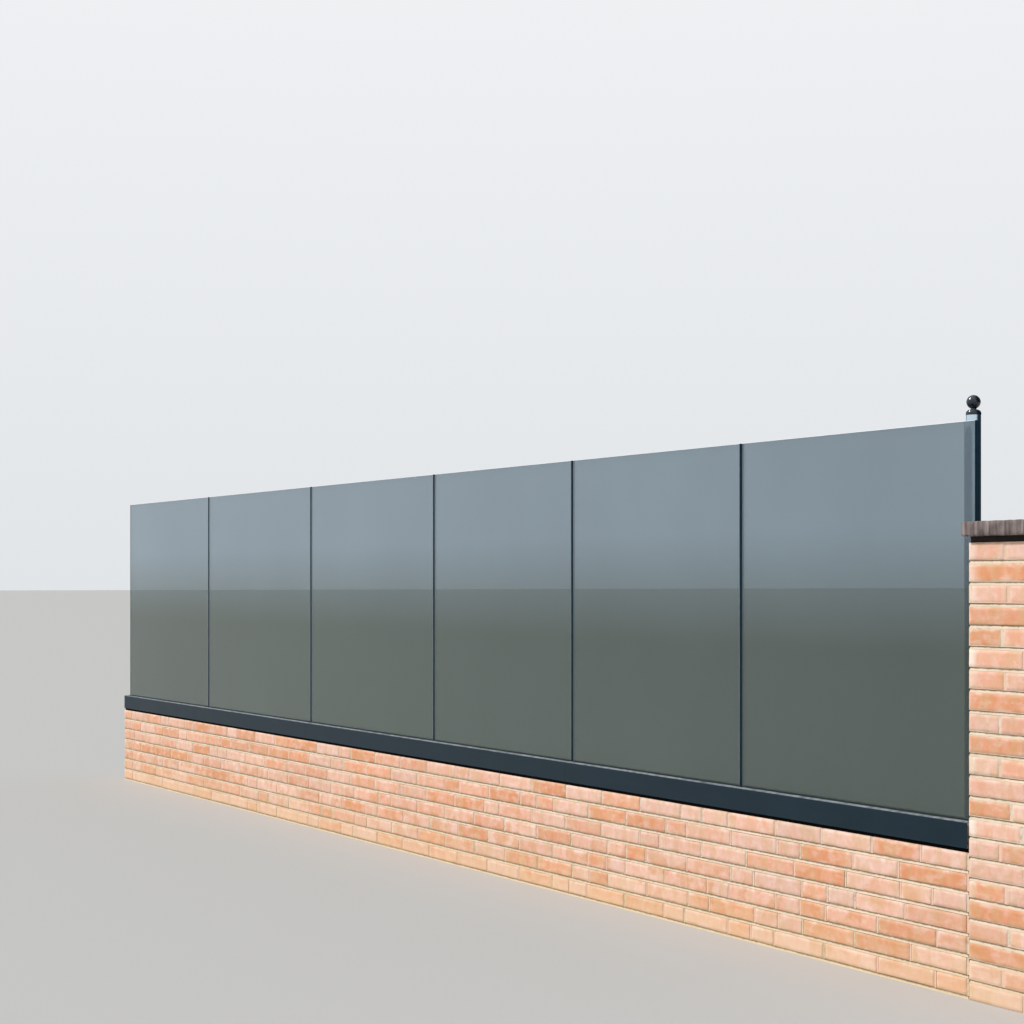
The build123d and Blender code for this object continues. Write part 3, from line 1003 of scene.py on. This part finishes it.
def coatFinish():
    material, tree, shader = newFinish("coatedCover", {"Roughness": 0.42, "Specular IOR Level": 0.2})
    cloud = patches(tree, 5.0, upright=0.6)
    base = blendColour(tree, cloud, cover["dark"], cover["light"])
    base = layOver(tree, base, streaks(tree, fineness=60.0, length=10.0, cover=0.4), cover["stain"])
    # painted highlight with dust: a pale line along the cover's top faces
    base = withTopDustAndHighlight(tree, base, cover["dust"], amount=0.9, fineness=40.0)
    feed(tree, shader["Base Color"], rubbed(tree, base, cover["rubbed"], amount=0.3, reach=1.5 * mm))
    peel = place(tree, grain, Fineness=420.0, Pits=0.1)
    feed(tree, shader["Roughness"], remap(tree, cloud, 0.0, 1.0, *cover["roughness"]))
    feed(tree, shader["Normal"], bump(tree, peel["Height"], 0.12, 0.2 * mm))
    return material


channel = {"dark": tint(176, 178, 182), "light": tint(200, 202, 205), "roughness": (0.34, 0.52)}


def millFinish():
    material, tree, shader = newFinish("millAluminium", {"Metallic": 1.0, "Roughness": 0.4})
    base = blendColour(tree, patches(tree, 8.0, upright=0.3), channel["dark"], channel["light"])
    feed(tree, shader["Base Color"], base)
    drawn = streaks(tree, fineness=400.0, length=0.02, cover=0.6)
    feed(tree, shader["Roughness"], remap(tree, drawn, 0.0, 1.0, *channel["roughness"]))
    return material


rubbers = {
    # black rubber, drawn near black as painted shade under the channel
    "bedRubber": {"dark": tint(1, 1, 2), "light": tint(4, 4, 5), "dusty": 0.0},
    "gasketRubber": {"dark": tint(18, 20, 22), "light": tint(30, 32, 34), "dusty": 0.25},
    "seatPlastic": {"dark": tint(40, 42, 44), "light": tint(56, 58, 60), "dusty": 0.3},
}
rubberDust = tint(90, 90, 86)


def rubberFinish(name):
    rubber = rubbers[name]
    material, tree, shader = newFinish(name, {"Roughness": 0.8, "Specular IOR Level": 0.05})
    base = blendColour(tree, patches(tree, 20.0), rubber["dark"], rubber["light"])
    feed(tree, shader["Base Color"], withTopDustAndHighlight(tree, base, rubberDust, rubber["dusty"], fineness=80.0))
    skin = place(tree, grain, Fineness=700.0, Pits=0.3)
    feed(tree, shader["Roughness"], remap(tree, skin["Value"], 0.3, 0.7, 0.7, 0.9))
    feed(tree, shader["Normal"], bump(tree, skin["Height"], 0.3, 0.15 * mm))
    return material


bolts = {"dark": tint(150, 152, 150), "light": tint(188, 190, 192), "roughness": (0.3, 0.55)}


def zincFinish():
    material, tree, shader = newFinish("zincSteel", {"Metallic": 1.0, "Roughness": 0.4})
    cloud = patches(tree, 120.0, contrast=0.6)
    feed(tree, shader["Base Color"], blendColour(tree, cloud, bolts["dark"], bolts["light"]))
    feed(tree, shader["Roughness"], remap(tree, cloud, 0.0, 1.0, *bolts["roughness"]))
    return material


post = {
    "gloss": 0.5,
    "dark": tint(6, 22, 38),
    "light": tint(12, 32, 50),
    "shaftDark": tint(24, 56, 78),
    "shaftLight": tint(30, 64, 88),
    "pale": tint(213, 232, 245),  # painted reflection: the shaft's side to the street, drawn pale and metallic
    "paleTurn": (-0.30, -0.18),  # a normal's Y up to which the painted reflection is full, and from which the paint is dark
    "paleMetal": 0.95,
    "rubbed": tint(92, 100, 106),
    "dust": tint(150, 156, 160),
    "roughness": (0.18, 0.30),
}


def postFinish(name, dark, light, sheenToStreet):
    sockets = {"Roughness": 0.28, "Specular IOR Level": 0.4}
    sockets.update({"Coat Weight": post["gloss"], "Coat Roughness": 0.12})
    material, tree, shader = newFinish(name, sockets)
    base = blendColour(tree, patches(tree, 14.0, upright=2.0), dark, light)
    if sheenToStreet:
        # painted reflection: the side that faces the street is drawn pale and metallic
        pale = remap(tree, along(tree, "Y", "Normal"), *post["paleTurn"], 1.0, 0.0)
        base = blendColour(tree, pale, base, post["pale"])
        feed(tree, shader["Metallic"], maths(tree, "MULTIPLY", pale, post["paleMetal"]))
    base = rubbed(tree, base, post["rubbed"], amount=0.4, reach=1.5 * mm)
    feed(tree, shader["Base Color"], withTopDustAndHighlight(tree, base, post["dust"], amount=0.3, fineness=60.0))
    skin = place(tree, grain, Fineness=240.0, Pits=0.05)
    feed(tree, shader["Roughness"], remap(tree, skin["Value"], 0.3, 0.7, *post["roughness"]))
    feed(tree, shader["Normal"], bump(tree, skin["Height"], 0.03, 0.2 * mm))
    return material


weld = {
    "bead": 3.2 * mm,
    "lean": 0.45,  # half of how far out the bead spreads, as a share of its size
    "sunk": 0.3 * mm,  # into the post and the plate
    "ripples": 46,
    "ripple": 0.35 * mm,
    "around": 138,
    "section": 8,
}


def makeWeld(finish):
    # the bead between the post and its foot plate
    radius = (postHigh.x - postLow.x) / 2
    middle = (postLow + postHigh) / 2
    points = []
    for i in range(weld["around"]):
        turn = 2 * math.pi * i / weld["around"]
        swell = weld["bead"] + weld["ripple"] * math.sin(weld["ripples"] * turn)
        for j in range(weld["section"]):
            slant = 2 * math.pi * j / weld["section"]
            out = radius + swell * weld["lean"] * (1 + math.cos(slant)) - weld["sunk"]
            x = middle.x + out * math.cos(turn)
            y = middle.y + out * math.sin(turn)
            z = postLow.z + (swell * 0.5 * (1 + math.sin(slant)) - weld["sunk"])
            points.append((x, y, z))
    faces = []
    for i in range(weld["around"]):
        for j in range(weld["section"]):
            a, b = i * weld["section"], (i + 1) % weld["around"] * weld["section"]
            k = (j + 1) % weld["section"]
            faces.append((a + j, b + j, b + k, a + k))
    heap = newHeap()
    addTo(heap, points, faces)
    finishPiece(pieceFrom(heap, "postWeld", finish))


def dressFrame():
    coat = coatFinish()
    mill = millFinish()
    bed, strip, plastic = [rubberFinish(name) for name in rubbers]
    zinc = zincFinish()
    paint = postFinish("postPaint", post["dark"], post["light"], False)
    shaftWithSheen = postFinish("postShaftPaint", post["shaftDark"], post["shaftLight"], True)
    finishes = {
        "front_cover": coat, "rear_cover": coat, "channel_end_plate": coat,
        "base_channel": mill, "clamp_jaws": mill,
        "bed_strips": bed, "front_gasket": strip, "rear_gasket": strip,
        "glass_seats": plastic, "clamp_wedges": plastic,
        "anchor_bolts": zinc, "post_bolts": zinc,
        "post_flange": paint, "end_post": shaftWithSheen, "post_collar": paint, "ball_finial": paint,
    }
    for start, finish in finishes.items():
        for node in nodesNamed(start):
            dress(node, finish)
    makeWeld(paint)


dressFrame()
print("frame dressed")

bpy.context.scene.view_settings.view_transform = "Standard"
